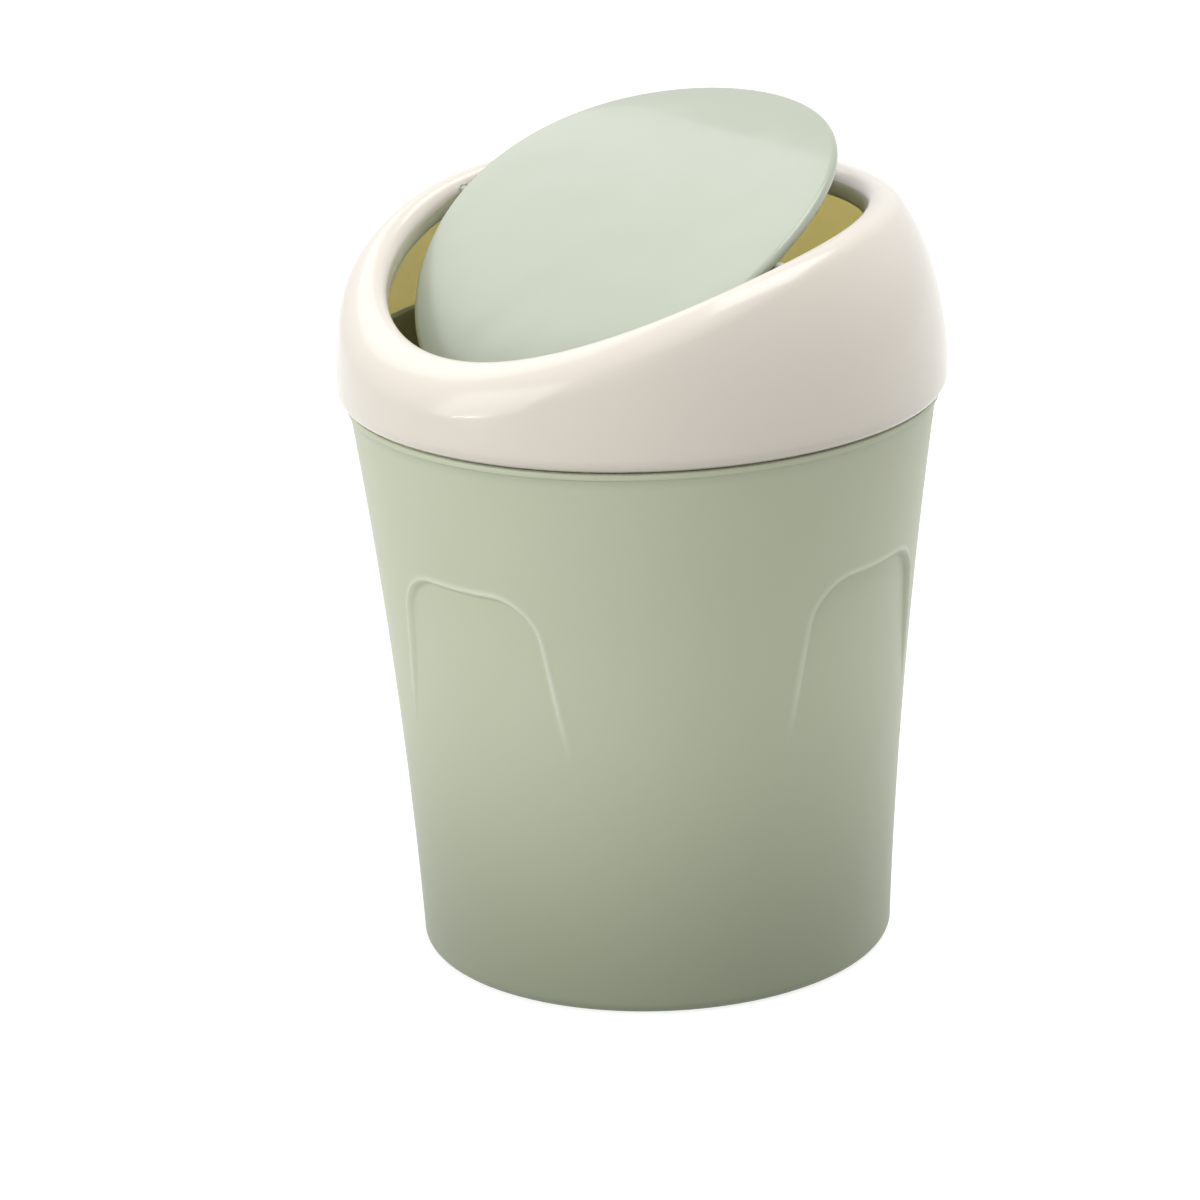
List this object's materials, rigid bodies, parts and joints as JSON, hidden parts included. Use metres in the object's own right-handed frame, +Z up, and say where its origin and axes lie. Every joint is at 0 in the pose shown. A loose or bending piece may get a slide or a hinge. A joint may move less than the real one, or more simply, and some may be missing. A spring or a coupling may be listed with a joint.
{
  "type": "swing-lid trash can",
  "caption": "Small round trash can: flared bucket with grip recesses, domed lift-off collar with a sloping rim, and a round swing flap on side pins.",
  "frame": {"origin": "centre of the bucket's base, on the floor", "axes": "+Z up along the bucket's axis, -Y towards the low side of the collar's rim, the flap's pins along X"},
  "size_m": [0.134, 0.134, 0.1848],
  "materials": {
    "bucket_plastic": "pale sage green, satin gloss",
    "collar_plastic": "cream white, glossy",
    "flap_plastic": "pale sage green, glossy"
  },
  "bodies": {
    "bin": {"bucket": "bucket_plastic"},
    "lid": {"collar": "collar_plastic"},
    "swing_flap": {"flap": "flap_plastic"}
  },
  "joints": [
    {"name": "collar_lift", "type": "slide", "parent": "bin", "child": "lid", "axis": [0, 0, 1], "range_m": [0, 0.06]},
    {"name": "flap_swing", "type": "hinge", "parent": "lid", "child": "swing_flap", "pos_m": [0, -0.0049, 0.1632], "axis": [1, 0, 0], "range_deg": [-89.4, 50.6]}
  ]
}
